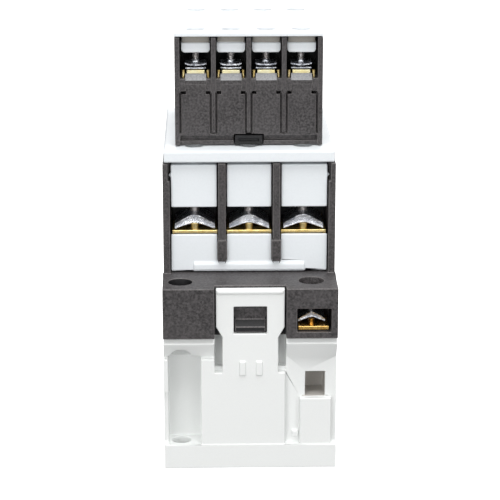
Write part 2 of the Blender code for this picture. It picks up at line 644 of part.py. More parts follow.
# ---------------------------------------------------------------- auxiliary block
def aux_end():
    """Added and cut shapes of the -Y end of the auxiliary housing."""
    front = -AUX_Y
    inner = [(x - AUX_PITCH / 2 + AUX_FIN / 2, x + AUX_PITCH / 2 - AUX_FIN / 2) for x in AUX_BAYS]
    inner[0] = (-AUX_WALL_IN, inner[0][1])
    inner[-1] = (inner[-1][0], AUX_WALL_IN)
    cuts = [
        box((-AUX_WALL_IN, AUX_WALL_IN), (front - BEYOND, front + 2.0), (83.6, 85.0)),
        box((-AUX_WALL_IN, AUX_WALL_IN), (front - BEYOND, front + 0.9), (AUX_BOTTOM - BEYOND, 84.0)),
    ]
    for x in (-AUX_PITCH, 0.0, AUX_PITCH):
        cuts.append(box((x - 0.9, x + 0.9), (front - BEYOND, front + 0.5), (84.5, 85.7)))
        cuts.append(box((x - 0.8, x + 0.8), (front - BEYOND, front + 1.4), (85.4, 86.0)))
    for x, (low, high) in zip(AUX_BAYS, inner):
        cuts.append(box((low, high), (front - BEYOND, front + 0.5), (80.0, 96.5)))
        cuts.append(box((low, high), (front - BEYOND, front + 0.15), (95.0, AUX_TOP + BEYOND)))
        cuts.append(box((x - AUX_NARROW, x + AUX_NARROW), (front - BEYOND, front + 0.5), (95.0, 101.0)))
        cuts.append(box((low, high), (front - BEYOND, -AUX_BAY_BACK), (AUX_LEDGE, AUX_TOP + BEYOND)))
        slope = [(front - BEYOND, AUX_LEDGE - 2.9), (front + 2.2, AUX_LEDGE + 0.3), (front - BEYOND, 102.0)]
        cuts.append(slab_yz(slope, (x - AUX_NARROW - 0.05, x + AUX_NARROW + 0.05)))
        for side, edge in ((-1, low), (1, high)):
            cuts.append(box((x + side * (AUX_NARROW - 0.1), edge - side * 0.2),
                            (front - BEYOND, front + 3.0), (95.9, 96.8)))
            cuts.append(box((edge - side * 0.4, edge + side * 0.2), (front - BEYOND, front + 1.4),
                            (85.5, 96.4)))
        cuts.append(box((x - 2.3, x + 2.3), (-AUX_BAY_BACK - BEYOND, -7.0),
                        (AUX_BAR[0] - 0.4, AUX_BAR[1] + 0.4)))
        cuts.append(rod(x, AUX_SCREW_Y, (94.0, 102.0), 1.4, 14))
    return [], cuts


def make_aux_housing():
    cuts = both_ends(aux_end()[1])
    body = box((-AUX_X, AUX_X), (-AUX_Y, AUX_Y), (AUX_BOTTOM, AUX_TOP - GAP))
    cuts += [
        box((-17.0, 17.0), (-7.6, 7.6), (88.0, AUX_TOP + BEYOND)),
        box((-4.9, 4.9), (-2.9, 2.9), (AUX_BOTTOM - BEYOND, 90.0)),
        box((-3.9, 3.9), (-AUX_Y - BEYOND, -12.5), (AUX_BOTTOM - BEYOND, 85.4)),
    ]
    combine("aux_housing", [body], cuts, "dark_plastic")
    latch = box((-3.6, 3.6), (-AUX_Y + 0.2, -14.6), (AUX_BOTTOM + 0.1, 85.0))
    grip = box((-2.6, 2.6), (-AUX_Y - BEYOND, -AUX_Y + 0.8), (83.4, 84.2))
    combine("aux_latch", [latch], [grip], "black_plastic", (0, -18.0, 83.8))


def make_aux_cover():
    """The white plate with a block hanging in each bay and a driver hole over each screw."""
    plate = box((-AUX_X, AUX_X), (-AUX_Y - 0.2, AUX_Y + 0.2), (AUX_TOP, PLATE_TOP))
    low = AUX_BLOCK_BOTTOM
    blocks = []
    for x in AUX_BAYS:
        face = [(x - 3.7, 109.0), (x - 3.7, low + 0.6), (x - 3.2, low), (x + 3.2, low), (x + 3.7, low + 0.6),
                (x + 3.7, 109.0)]
        blocks.append(slab_xz(face, (-AUX_Y + 2.0, -AUX_BAY_BACK - 0.6)))
        blocks.append(box((x - 3.6, x + 3.6), (-AUX_Y + 2.8, -AUX_BAY_BACK - 0.7),
                          (108.8, AUX_TOP + 0.5)))
    holes = [rod(x, AUX_SCREW_Y, (100.0, PLATE_TOP + BEYOND), 2.5) for x in AUX_BAYS]
    combine("aux_cover", [plate] + both_ends(blocks), both_ends(holes), "white_plastic")


def make_aux_slider():
    """The slider that follows the carrier: outer bridges close as it goes down, inner ones open."""
    bar = box((-16.6, 16.6), (-2.4, 2.4), (92.0, 110.0))
    foot = box((-4.2, 4.2), (-2.4, 2.4), (83.9, 93.0))
    bridges = []
    windows = []
    for x in AUX_BAYS:
        closing = abs(x) > AUX_PITCH
        bridges.append(box((x - 1.8, x + 1.8), (-6.6, 6.6), (106.1, 106.9) if closing else (99.6, 100.4)))
        windows.append(box((x - 2.8, x + 2.8), (-4.0, 4.0), (107.0, 108.8) if closing else (95.0, 99.5)))
    combine("aux_slider", [bar, foot] + bridges, windows, "black_plastic")


clear_scene()
PARTS = collection("din_rail_contactor")
make_base()
make_din_clip()
make_terminal_housing()
make_terminals()
make_magnet()
make_coil()
make_carrier()
make_front_cover()
make_aux_housing()
make_aux_cover()
make_aux_slider()
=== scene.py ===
import json

import bmesh
import bpy
import numpy as np
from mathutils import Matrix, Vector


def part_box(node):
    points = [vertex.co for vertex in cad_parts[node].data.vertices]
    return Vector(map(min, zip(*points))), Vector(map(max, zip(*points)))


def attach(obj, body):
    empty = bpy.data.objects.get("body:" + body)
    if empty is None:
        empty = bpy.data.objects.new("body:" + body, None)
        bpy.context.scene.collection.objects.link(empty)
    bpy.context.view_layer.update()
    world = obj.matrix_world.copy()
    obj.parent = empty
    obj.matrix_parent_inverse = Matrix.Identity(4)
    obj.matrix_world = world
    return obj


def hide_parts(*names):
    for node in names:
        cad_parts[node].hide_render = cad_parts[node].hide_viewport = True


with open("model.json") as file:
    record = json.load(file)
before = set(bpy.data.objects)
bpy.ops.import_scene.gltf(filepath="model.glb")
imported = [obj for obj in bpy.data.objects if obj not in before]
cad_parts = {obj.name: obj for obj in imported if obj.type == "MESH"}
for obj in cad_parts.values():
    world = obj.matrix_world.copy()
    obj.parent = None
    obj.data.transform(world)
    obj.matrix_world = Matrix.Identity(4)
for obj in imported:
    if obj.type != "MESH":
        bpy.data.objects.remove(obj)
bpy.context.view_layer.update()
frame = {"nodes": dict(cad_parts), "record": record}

MM = 0.001
NODES = frame["nodes"]
BODY_OF = {node: body for body, nodes in frame["record"]["behaviour"]["bodies"].items() for node in nodes}
ENDS = ("line", "load")
POLES = (1, 2, 3)
AUX_POLES = (1, 2, 3, 4)
GRID_STEP = 0.05 * MM           # the grid that moulded corners are put on


# ---------------------------------------------------------------- materials
class Finish:
    """A Principled material whose patterns read object coordinates in metres."""

    def __init__(self, name, roughness, metallic=0.0):
        self.material = bpy.data.materials.new(name)
        self.material.use_nodes = True
        self.nodes = self.material.node_tree.nodes
        self.links = self.material.node_tree.links
        self.shader = self.nodes["Principled BSDF"]
        self.shader.inputs["Metallic"].default_value = metallic
        self.shader.inputs["Roughness"].default_value = roughness
        self.place = self.nodes.new("ShaderNodeTexCoord").outputs["Object"]

    def stretched(self, scale):
        """Object coordinates stretched by a factor on each axis."""
        mapping = self.nodes.new("ShaderNodeMapping")
        mapping.inputs["Scale"].default_value = scale
        self.links.new(self.place, mapping.inputs["Vector"])
        return mapping.outputs["Vector"]

    def noise(self, size_mm, detail=3.0, vector=None):
        """Soft noise whose lumps are about that many millimetres across."""
        node = self.nodes.new("ShaderNodeTexNoise")
        node.inputs["Scale"].default_value = 1.0 / (size_mm * MM)
        node.inputs["Detail"].default_value = detail
        self.links.new(vector or self.place, node.inputs["Vector"])
        return node.outputs["Fac"]

    def cells(self, size_mm, vector=None):
        """Rounded cells, as hammering leaves."""
        node = self.nodes.new("ShaderNodeTexVoronoi")
        node.feature = "SMOOTH_F1"
        node.inputs["Scale"].default_value = 1.0 / (size_mm * MM)
        self.links.new(vector or self.place, node.inputs["Vector"])
        return node.outputs["Distance"]

    def ranged(self, value, low, high, start=0.3, stop=0.7):
        node = self.nodes.new("ShaderNodeMapRange")
        node.inputs["From Min"].default_value = start
        node.inputs["From Max"].default_value = stop
        node.inputs["To Min"].default_value = low
        node.inputs["To Max"].default_value = high
        self.links.new(value, node.inputs["Value"])
        return node.outputs["Result"]

    def blend(self, factor, first, second):
        """A mix of two colours, each a colour or another node's output."""
        node = self.nodes.new("ShaderNodeMix")
        node.data_type = "RGBA"
        self.links.new(factor, node.inputs["Factor"])
        for socket, value in ((node.inputs[6], first), (node.inputs[7], second)):
            if isinstance(value, tuple):
                socket.default_value = (*value, 1.0)
            else:
                self.links.new(value, socket)
        return node.outputs[2]

    def colour(self, output):
        self.links.new(output, self.shader.inputs["Base Color"])

    def rough(self, output):
        self.links.new(output, self.shader.inputs["Roughness"])

    def relief(self, heights):
        """Bumps one on another, each a height output with its depth in millimetres."""
        normal = None
        for height, depth_mm in heights:
            bump = self.nodes.new("ShaderNodeBump")
            bump.inputs["Distance"].default_value = depth_mm * MM
            self.links.new(height, bump.inputs["Height"])
            if normal:
                self.links.new(normal, bump.inputs["Normal"])
            normal = bump.outputs["Normal"]
        self.links.new(normal, self.shader.inputs["Normal"])


def moulded(name, colour, contrast, roughness, grain_mm, depth_mm, specular=0.5):
    """Moulded plastic: a fine spark-eroded grain over slow clouds of tone and gloss."""
    made = Finish(name, roughness)
    grain = made.noise(grain_mm, 2.0)
    cloud = made.noise(9.0, 2.0)
    low = tuple(c * (1 - contrast) for c in colour)
    high = tuple(min(1.0, c * (1 + contrast)) for c in colour)
    fine = made.blend(made.ranged(grain, 0.0, 1.0), low, high)
    made.colour(made.blend(made.ranged(cloud, 0.0, 0.35), fine, high))
    made.rough(made.ranged(cloud, roughness - 0.05, roughness + 0.06))
    made.relief([(grain, depth_mm), (made.noise(2.2, 1.0), depth_mm * 1.6)])
    made.shader.inputs["Specular IOR Level"].default_value = specular
    return made.material


def struck_metal(name, colour, dark, roughness, dent_mm, depth_mm):
    """Plated or stamped metal: shallow dents, drawn scratches and a little tarnish."""
    made = Finish(name, roughness, 1.0)
    dents = made.cells(dent_mm)
    scratches = made.noise(0.5, 4.0, made.stretched((6.0, 1.0, 6.0)))
    tarnish = made.noise(1.6, 4.0)
    made.colour(made.blend(made.ranged(tarnish, 0.0, 0.85, 0.36, 0.66), colour, dark))
    made.rough(made.ranged(scratches, roughness - 0.08, roughness + 0.12))
    made.relief([(dents, depth_mm), (scratches, depth_mm * 0.3)])
    return made.material


def layered(name, colour, dark, roughness, pitch_mm, axis, metallic):
    """Fine parallel layers along one axis, such as laminations or turns of wire."""
    made = Finish(name, roughness, metallic)
    wave = made.nodes.new("ShaderNodeTexWave")
    wave.bands_direction = axis
    wave.inputs["Scale"].default_value = 0.05 / (pitch_mm * MM)
    wave.inputs["Distortion"].default_value = 0.6
    wave.inputs["Detail"].default_value = 1.0
    made.links.new(made.place, wave.inputs["Vector"])
    layers = wave.outputs["Fac"]
    patches = made.noise(3.0, 3.0)
    stripes = made.blend(layers, dark, colour)
    made.colour(made.blend(made.ranged(patches, 0.0, 0.4), stripes, dark))
    made.rough(made.ranged(patches, roughness - 0.06, roughness + 0.1))
    made.relief([(layers, pitch_mm * 0.3)])
    return made.material


FINISH = {
    "base": moulded("base_grey_plastic", (0.835, 0.85, 0.84), 0.01, 0.42, 0.35, 0.004),
    "dark": moulded("dark_grained_plastic", (0.050, 0.046, 0.047), 0.75, 0.50, 0.55, 0.05, 0.42),
    # painted highlight: the rounded edges of the dark mouldings, coloured about twice as light as their
    # faces, stand for the light those edges catch
    "edge": moulded("dark_edge_painted_highlight", (0.105, 0.098, 0.098), 0.5, 0.55, 0.4, 0.04, 0.45),
    # painted shadow: the upper fronts of the auxiliary cover's blocks, in the shade of the overhanging plate
    "shade": moulded("shaded_recess_plastic", (0.31, 0.29, 0.26), 0.06, 0.5, 0.5, 0.01),
    # painted shade: the inside faces of the base's side window, darker where light hardly reaches
    "window_shade": moulded("window_painted_shade", (0.55, 0.53, 0.50), 0.04, 0.5, 0.5, 0.01),
    # painted light: the tops of the auxiliary rests, lighter than the dark housing because they face the
    # overhead lamp
    "sill": moulded("sill_painted_top_light", (0.265, 0.268, 0.275), 0.3, 0.55, 0.4, 0.03, 0.4),
    "white": moulded("cool_white_plastic", (0.82, 0.855, 0.88), 0.015, 0.33, 0.5, 0.006),
    # black plastic of the latch and rail clip; also painted shade lining the terminal pockets, auxiliary
    # bays and coil windows
    "black": moulded("black_plastic", (0.012, 0.012, 0.013), 0.3, 0.5, 0.4, 0.02, 0.3),
    "former": moulded("former_plastic", (0.10, 0.09, 0.08), 0.2, 0.5, 0.4, 0.02),
    "rubber": moulded("pad_rubber", (0.03, 0.03, 0.03), 0.3, 0.85, 0.6, 0.05, 0.2),
    "silver": struck_metal("zinc_plate", (0.84, 0.86, 0.90), (0.26, 0.28, 0.33), 0.26, 0.42, 0.12),
    "thread": struck_metal("turned_steel", (0.90, 0.87, 0.85), (0.46, 0.42, 0.40), 0.38, 0.8, 0.03),
    "brass": struck_metal("bright_brass", (1.0, 0.82, 0.42), (0.82, 0.58, 0.18), 0.30, 1.1, 0.06),
    "bright": struck_metal("polished_brass", (1.0, 0.95, 0.66), (1.0, 0.86, 0.42), 0.42, 1.4, 0.04),
    "coil_brass": struck_metal("warm_brass", (0.90, 0.60, 0.20), (0.66, 0.38, 0.10), 0.25, 1.4, 0.05),
    "spring": struck_metal("spring_wire", (0.60, 0.60, 0.60), (0.35, 0.35, 0.35), 0.3, 0.6, 0.01),
    "contact": struck_metal("contact_silver", (0.86, 0.85, 0.82), (0.60, 0.58, 0.54), 0.35, 0.5, 0.02),
    "core": layered("core_laminations", (0.50, 0.49, 0.47), (0.20, 0.19, 0.18), 0.42, 0.5, "X", 1.0),
    "copper": layered("enamelled_wire", (0.62, 0.24, 0.09), (0.30, 0.10, 0.04), 0.30, 0.35, "Z", 0.85),
    "band": struck_metal("ring_copper", (0.80, 0.42, 0.26), (0.5, 0.24, 0.14), 0.35, 1.0, 0.03),
}


# ---------------------------------------------------------------- pieces
def place_piece(name, mesh, look, body, stands_for=()):
    """A finished piece at the origin, riding on its body and standing for its solids."""
    piece = bpy.data.objects.new(name, mesh)
    bpy.context.scene.collection.objects.link(piece)
    if not mesh.materials:
        mesh.materials.append(FINISH[look])
    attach(piece, body)
    if stands_for:
        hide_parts(*stands_for)
    return piece


def grid_mesh(name, points, wrap_u=False, wrap_v=False, flip=False):
    """A mesh over a grid of points, shape (rows, columns, 3), joined round where it wraps."""
    rows, columns = points.shape[:2]
    i = np.arange(rows if wrap_u else rows - 1)[:, None]
    j = np.arange(columns if wrap_v else columns - 1)[None, :]
    a = i * columns + j
    b = i * columns + (j + 1) % columns
    c = ((i + 1) % rows) * columns + (j + 1) % columns
    d = ((i + 1) % rows) * columns + j
    corners = (a, d, c, b) if flip else (a, b, c, d)
    faces = np.stack([q.ravel() for q in np.broadcast_arrays(*corners)], axis=1)
    mesh = bpy.data.meshes.new(name)
    mesh.from_pydata(points.reshape(-1, 3).tolist(), [], faces.tolist())
    close_poles(mesh)
    return mesh


def close_poles(mesh):
    """Merges the doubled points of seams and poles, turns faces outwards and shades smooth."""
    bm = bmesh.new()
    bm.from_mesh(mesh)
    bmesh.ops.remove_doubles(bm, verts=bm.verts, dist=0.000001)
    bmesh.ops.dissolve_degenerate(bm, edges=bm.edges, dist=0.0000005)
    bmesh.ops.recalc_face_normals(bm, faces=bm.faces)
    bm.to_mesh(mesh)
    bm.free()
    mesh.shade_smooth()
    mesh.set_sharp_from_angle(angle=np.radians(40))


def softened(name, node, look, radius_mm, linings=(), edge=None):
    """A moulding: the node's solid with every sharp edge rounded, and its recesses lined.

    Corners near the grid are put on it, so that flat neighbours line up.
    Only faces that bend gently into a neighbour, as round holes do, are shaded smooth.
    Each lining is a finish and a test on face centres and normals that picks its faces.
    edge is the finish of the rounded edges themselves, in the dark mouldings a painted highlight."""
    mesh = NODES[node].data.copy()
    mesh.name = name
    mesh.materials.clear()
    mesh.materials.append(FINISH[look])
    bm = bmesh.new()
    bm.from_mesh(mesh)
    for corner in bm.verts:
        if all(abs(c / GRID_STEP - round(c / GRID_STEP)) < 0.45 for c in corner.co):
            corner.co = [round(c / GRID_STEP) * GRID_STEP for c in corner.co]
    bmesh.ops.remove_doubles(bm, verts=bm.verts, dist=0.00003)
    bmesh.ops.join_triangles(bm, faces=bm.faces, angle_face_threshold=0.01, angle_shape_threshold=0.8)
    for face in bm.faces:
        face.material_index = 0
    for number, (second, inside) in enumerate(linings, 1):
        mesh.materials.append(FINISH[second])
        for face in bm.faces:
            if inside(face.calc_center_median() / MM, face.normal):
                face.material_index = number
    for face in bm.faces:
        bends = [side.calc_face_angle(0.0) for side in face.edges if side.is_manifold]
        face.smooth = any(0.05 < bend < 0.55 for bend in bends)
    bm.to_mesh(mesh)
    bm.free()
    piece = place_piece(name, mesh, look, BODY_OF[node], (node,))
    bevel = piece.modifiers.new("soft_edges", "BEVEL")
    # the rounded edges may take their own finish; the dark mouldings give them a painted highlight
    if edge:
        mesh.materials.append(FINISH[edge])
        bevel.material = len(mesh.materials) - 1
    bevel.width = radius_mm * MM
    bevel.segments = 3
    bevel.limit_method = "ANGLE"
    bevel.angle_limit = np.radians(32)
    bevel.use_clamp_overlap = False
    bevel.miter_outer = "MITER_ARC"
    return piece


def centre_of(node):
    """The middle, the low corner and the high corner of a node's box, in metres."""
    low, high = (np.array(corner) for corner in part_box(node))
    return (low + high) / 2, low, high


# ---------------------------------------------------------------- turned and bent metal
def screw_mesh(name, centre, top, foot, neck, head_r, shank_r, pitch):
    """A cross-slotted screw as one surface of revolution with two changes.

    The profile runs from the middle of the head, down its side and under it, then down the shank.
    Thread: the shank's radius rises and falls as a triangle wave of height / pitch - turn.
    Slot: the head's top sinks by a smooth step where |x| or |y| is under the slot's half width."""
    chamfer = head_r * 0.12
    head = [(r, top) for r in np.linspace(0, head_r - chamfer, 22)]
    head += [(head_r, top - chamfer), (head_r, neck + chamfer), (head_r - chamfer, neck), (shank_r, neck)]
    rows = int((neck - foot) / pitch * 8)
    shank = [(shank_r, z) for z in np.linspace(neck - pitch * 0.5, foot + pitch * 0.4, rows)]
    profile = np.array(head + shank + [(shank_r * 0.75, foot), (0.0, foot)])
    turn = np.linspace(0, 1, 48, endpoint=False)
    radius = np.repeat(profile[:, :1], len(turn), axis=1)
    height = np.repeat(profile[:, 1:], len(turn), axis=1)
    threaded = np.zeros(len(profile), bool)
    threaded[len(head):len(head) + rows] = True
    phase = (height / pitch - turn[None, :]) % 1.0
    ridge = 1 - np.abs(2 * phase - 1)
    radius = np.where(threaded[:, None], radius - 0.16 * pitch + ridge * 0.32 * pitch, radius)
    angle = turn * 2 * np.pi
    x, y = radius * np.cos(angle), radius * np.sin(angle)
    half, reach = head_r * 0.15, head_r * 0.78
    arm = np.minimum(np.maximum(np.abs(x) / half, np.abs(y) / reach),
                     np.maximum(np.abs(y) / half, np.abs(x) / reach))
    sunk = np.clip((1.25 - arm) / 0.5, 0, 1)
    on_top = (height > top - chamfer * 0.5)
    height = height - np.where(on_top, sunk * min(1.1, (top - neck) * 0.5), 0)
    points = np.stack([centre[0] / MM + x, centre[1] / MM + y, height], axis=2) * MM
    return grid_mesh(name, points, wrap_v=True)


def chevron(half, foot, shoulder, apex, thick, rounding, steps):
    """A closed outline in X and Z: a rounded roof over a lower one, meeting in pointed feet.

    Each roof line is apex minus slope times a softened |x|: sqrt(x^2 + r^2) - r."""
    x = np.linspace(-half, half, steps)
    soft = np.sqrt(x ** 2 + rounding ** 2) - rounding
    end = np.sqrt(half ** 2 + rounding ** 2) - rounding
    upper = apex - (apex - shoulder) * soft / end
    lower = apex - thick - (apex - thick - foot) * soft / end
    outline = np.concatenate([np.stack([x, upper], 1), np.stack([x[::-1], lower[::-1]], 1)])
    return outline, np.stack([x, (upper + lower) / 2], 1)


def bent_clamp(name, centre, half, depth, foot, shoulder, apex, thick, rounding):
    """A bent saddle: the chevron carried along Y, its ends rounded and closed on its middle line.

    Across the front and back the outline shrinks towards the middle line as the face swells out,
    and small sines of x, y and z dent the surface as a hammer would."""
    steps = 40
    outline, middle = chevron(half, foot, shoulder, apex, thick, rounding, steps)
    target = np.concatenate([middle, middle[::-1]])
    along = np.linspace(-depth / 2 + 0.2, depth / 2 - 0.2, 26)
    inset = np.array([0.10, 0.10, 0.06, 0.0, 0.05])
    closing = np.array([1.0, 0.55, 0.30, 0.14, 0.04])
    y = np.concatenate([-depth / 2 + inset, along, depth / 2 - inset[::-1]])
    shrink = np.concatenate([closing, np.zeros(len(along)), closing[::-1]])
    ring = outline[None, :, :] * (1 - shrink[:, None, None]) + target[None, :, :] * shrink[:, None, None]
    x, z = ring[..., 0], ring[..., 1]
    yy = np.repeat(y[:, None], x.shape[1], axis=1)
    dent = 0.035 * (np.sin(x * 7.1 + yy * 3.3) * np.sin(yy * 6.7 - x * 2.1)
                    + 0.6 * np.sin(z * 11.0 + x * 5.0))
    z = z + dent * (1 - shrink[:, None] * 0.6)
    yy = yy + dent * 0.8 * (shrink[:, None] > 0.1)
    points = np.stack([centre[0] / MM + x, centre[1] / MM + yy, z], axis=2) * MM
    return grid_mesh(name, points, wrap_v=True)


def tube_along(name, path, radius, sides=12):
    """A round wire along a path: at each point a circle in the plane across the path's direction."""
    ahead = np.gradient(path, axis=0)
    ahead /= np.linalg.norm(ahead, axis=1)[:, None]
    side = np.cross(ahead, np.array([0.31, 0.17, 0.93]))
    side /= np.linalg.norm(side, axis=1)[:, None]
    over = np.cross(ahead, side)
    a = np.linspace(0, 2 * np.pi, sides, endpoint=False)
    ring = side[:, None, :] * np.cos(a)[None, :, None] + over[:, None, :] * np.sin(a)[None, :, None]
    tube = path[:, None, :] + ring * radius
    start = np.repeat(path[:1][:, None, :], sides, axis=1)
    stop = np.repeat(path[-1:][:, None, :], sides, axis=1)
    return grid_mesh(name, np.concatenate([start, tube, stop]), wrap_v=True)


def coil_path(centre, low, high, radius, turns, flat=0.12):
    """A helix whose first and last turns lie almost flat, as ground spring ends do.

    Height rises with a smooth step of the way along, so the pitch opens in the middle."""
    t = np.linspace(0, 1, int(turns * 28))
    angle = 2 * np.pi * turns * t
    rise = np.clip((t - flat) / (1 - 2 * flat), 0, 1)
    return np.stack([centre[0] + radius * np.cos(angle), centre[1] + radius * np.sin(angle),
                     low + (high - low) * rise], axis=1)


def collar(name, centre, foot, top, waist, flare):
    """A short turned collar: radius is the waist, widened near the top by the square of the way up."""
    t = np.linspace(0, 1, 14)
    radius = waist + (flare - waist) * t ** 2
    height = foot + (top - foot) * t
    crown = [[flare - 0.12, top + 0.06], [0.0, top + 0.06]]
    profile = np.concatenate([[[0.0, foot]], np.stack([radius, height], 1), crown])
    a = np.linspace(0, 2 * np.pi, 28, endpoint=False)
    points = np.stack([centre[0] + profile[:, :1] * np.cos(a), centre[1] + profile[:, :1] * np.sin(a),
                       np.repeat(profile[:, 1:], len(a), axis=1)], axis=2)
    return grid_mesh(name, points * MM, wrap_v=True)


def dished_plate(name, centre, half, depth, foot, thick, turn_up, hump):
    """A pressed plate as one closed surface round its edge, first over the top and then underneath.

    Height is foot + turn_up * |x / half|^3 at the corners + hump * exp(-r^2) round the screw, with a
    sine of x and y for the stamped unevenness."""
    u = np.linspace(-1, 1, 30)
    v = np.linspace(-1, 1, 26)
    x, y = np.meshgrid(u * half, v * depth / 2)
    lift = turn_up * np.abs(x / half) ** 3 * (0.55 + 0.45 * np.abs(y / (depth / 2)) ** 2)
    wave = 0.03 * np.sin(x * 5.1 + y * 2.3) * np.sin(y * 4.3)
    lift = lift + hump * np.exp(-(x ** 2 + y ** 2) / 1.6) + wave
    edge = 1 - 0.25 * np.clip(np.maximum(np.abs(u)[None, :], np.abs(v)[:, None]) * 12 - 11, 0, 1)
    upper = np.stack([x, y, foot + lift + thick * edge], axis=2)
    lower = np.stack([x, y, foot + lift], axis=2)[::-1]
    points = np.concatenate([upper, lower])
    points[..., :2] += np.array(centre[:2]) / MM
    mesh = grid_mesh(name, points * MM, wrap_u=True)
    bm = bmesh.new()
    bm.from_mesh(mesh)
    bmesh.ops.holes_fill(bm, edges=[e for e in bm.edges if e.is_boundary], sides=0)
    bmesh.ops.triangulate(bm, faces=[f for f in bm.faces if len(f.verts) > 4])
    bmesh.ops.recalc_face_normals(bm, faces=bm.faces)
    bm.to_mesh(mesh)
    bm.free()
    mesh.shade_smooth()
    mesh.set_sharp_from_angle(angle=np.radians(40))
    return mesh


def rounded_loop(centre, half_x, half_y, height):
    """A closed path round a rectangle with soft corners: a superellipse of the eighth power."""
    a = np.linspace(0, 2 * np.pi, 97)
    c, s = np.cos(a), np.sin(a)
    x = half_x * np.sign(c) * np.abs(c) ** 0.25
    y = half_y * np.sign(s) * np.abs(s) ** 0.25
    return np.stack([centre[0] + x, centre[1] + y, np.full_like(a, height)], axis=1)


def wound_ring(name, out_x, out_y, in_x, in_y, low, high, pitch):
    """A wound coil: soft rectangles stacked up outside, ridged by |sin| once a turn, then down inside."""
    a = np.linspace(0, 2 * np.pi, 120, endpoint=False)
    c, s = np.cos(a), np.sin(a)
    cx = np.sign(c) * np.abs(c) ** 0.34
    cy = np.sign(s) * np.abs(s) ** 0.34
    turns = int((high - low) / pitch)
    z = np.linspace(low + 0.05, high - 0.05, turns * 6)
    ridge = np.abs(np.sin((z - low) / pitch * np.pi)) ** 0.6 * 0.14 - 0.14
    z = np.concatenate([[low], z, [high, high, low]])
    x_half = np.concatenate([[out_x - 0.3], out_x + ridge, [out_x - 0.3, in_x, in_x]])
    y_half = np.concatenate([[out_y - 0.3], out_y + ridge, [out_y - 0.3, in_y, in_y]])
    level = np.repeat(z[:, None], len(a), axis=1)
    points = np.stack([x_half[:, None] * cx, y_half[:, None] * cy, level], axis=2)
    return grid_mesh(name, points * MM, wrap_u=True, wrap_v=True)


def rolled_lip(name, half, turn):
    """A rolled strip: half a flattened circle carried along X, shrinking to nothing over its
    last millimetre."""
    a = np.linspace(-np.pi / 2, np.pi / 2, 14)
    x = np.concatenate([np.linspace(-half, -half + 0.8, 6), np.linspace(-half + 1.2, half - 1.2, 12),
                        np.linspace(half - 0.8, half, 6)])
    fade = np.clip((half - np.abs(x)) / 0.8, 0, 1) ** 0.5
    out = 39.75 + 0.42 * np.cos(a)[None, :] * fade[:, None]
    up = 48.25 + 0.62 * np.sin(a)[None, :] * np.ones_like(x)[:, None]
    across = np.repeat(x[:, None], len(a), axis=1)
    points = np.stack([across * turn, -out * turn, up], axis=2)
    return grid_mesh(name, points * MM, wrap_v=True)


# ---------------------------------------------------------------- the contactor's parts
def sill_rest_mesh(name, bar_top):
    """The rests in front of the auxiliary terminals, on both faces of the block, their tops in painted
    light.

    Eight closed wedges, in painted light above and dark on the upright front: a five-cornered outline in y
    and z, with an upright back, a flat lip, a slope that falls to the face and an upright
    front, swept 5.4 mm along x at each pole."""
    outline = np.array([(-19.0, -2.2), (-19.0, -0.8), (-19.3, -0.8), (-20.98, -2.3), (-20.98, -5.0)])
    verts, faces = [], []
    half = 2.7
    for side in (1.0, -1.0):
        for middle in [centre_of(f"aux_line_screw_{n}")[0][0] / MM for n in AUX_POLES]:
            first = len(verts)
            for end in (-half, half):
                verts += [((middle + end) * MM, side * y * MM, bar_top + z * MM) for y, z in outline]
            ring = np.arange(5)
            faces += [[first + i, first + (i + 1) % 5, first + 5 + (i + 1) % 5, first + 5 + i] for i in ring]
            faces += [list(first + ring[::-1]), list(first + 5 + ring)]
    mesh = bpy.data.meshes.new(name)
    mesh.from_pydata(verts, [], [[int(i) for i in face] for face in faces])
    bm = bmesh.new()
    bm.from_mesh(mesh)
    bmesh.ops.recalc_face_normals(bm, faces=bm.faces)
    # painted light: faces facing along y, the upright back and front, keep the dark housing finish; the lip,
    # slope and ends take the pale painted top light
    for face in bm.faces:
        face.material_index = 1 if abs(face.normal.y) > 0.95 else 0
    bm.to_mesh(mesh)
    bm.free()
    mesh.materials.append(FINISH["sill"])
    mesh.materials.append(FINISH["dark"])
    return mesh


def dress_mouldings():
    """The moulded parts, every edge softened, with painted shade lining their recesses and a painted
    highlight on the dark housings' edges.
    """
    # Tests that pick faces for painted shade: black in the terminal pockets, auxiliary bays and coil
    # windows, grey in the base's side window, and a painted shadow under the auxiliary cover's plate.
    def terminal_recess_shade(c, n):
        return 60.0 < c.z < 66.95 and abs(c.y) < 25.4

    def aux_bay_shade(c, n):
        return c.z > 101.6 and abs(c.y) < 20.9 and abs(c.x) < 17.9

    def coil_window_shade(c, n):
        return 37.8 < c.z < 44.1 and abs(c.x) < 20.9 and 28.0 < abs(c.y) < 40.5 and abs(n.z) < 0.9

    def side_window_shade(c, n):
        return 14.2 < abs(c.x) < 19.5 and 19.2 < c.z < 26.1 and 29.0 < abs(c.y) < 38.9

    def plate_shadow(c, n):
        return c.z > 108.9 and abs(n.y) > 0.8 and abs(c.y) > 18.0 and c.z < 111.0

    softened("base_moulding", "base_housing", "base", 0.22, [("window_shade", side_window_shade)])
    softened("terminal_moulding", "terminal_housing", "dark", 0.2, [("black", coil_window_shade)], "edge")
    softened("front_cover_moulding", "front_cover", "white", 0.45)
    softened("aux_moulding", "aux_housing", "dark", 0.14, [("black", aux_bay_shade)], "edge")
    softened("aux_cover_moulding", "aux_cover", "white", 0.25, [("shade", plate_shadow)])
    rests = sill_rest_mesh("aux_sill_rest", centre_of("aux_line_contact_1")[2][2])
    place_piece("aux_sill_rests", rests, "sill", BODY_OF["aux_housing"])
    softened("aux_latch_moulding", "aux_latch", "black", 0.2)
    softened("rail_clip_moulding", "din_clip", "black", 0.25)
    softened("carrier_moulding", "contact_carrier", "former", 0.2)
    softened("aux_slider_moulding", "aux_slider", "former", 0.2)
    softened("bobbin_moulding", "coil_bobbin", "former", 0.25)
    for end in ENDS:
        softened(f"{end}_block_moulding", f"{end}_terminal_block", "white", 0.3,
                 [("black", terminal_recess_shade)])


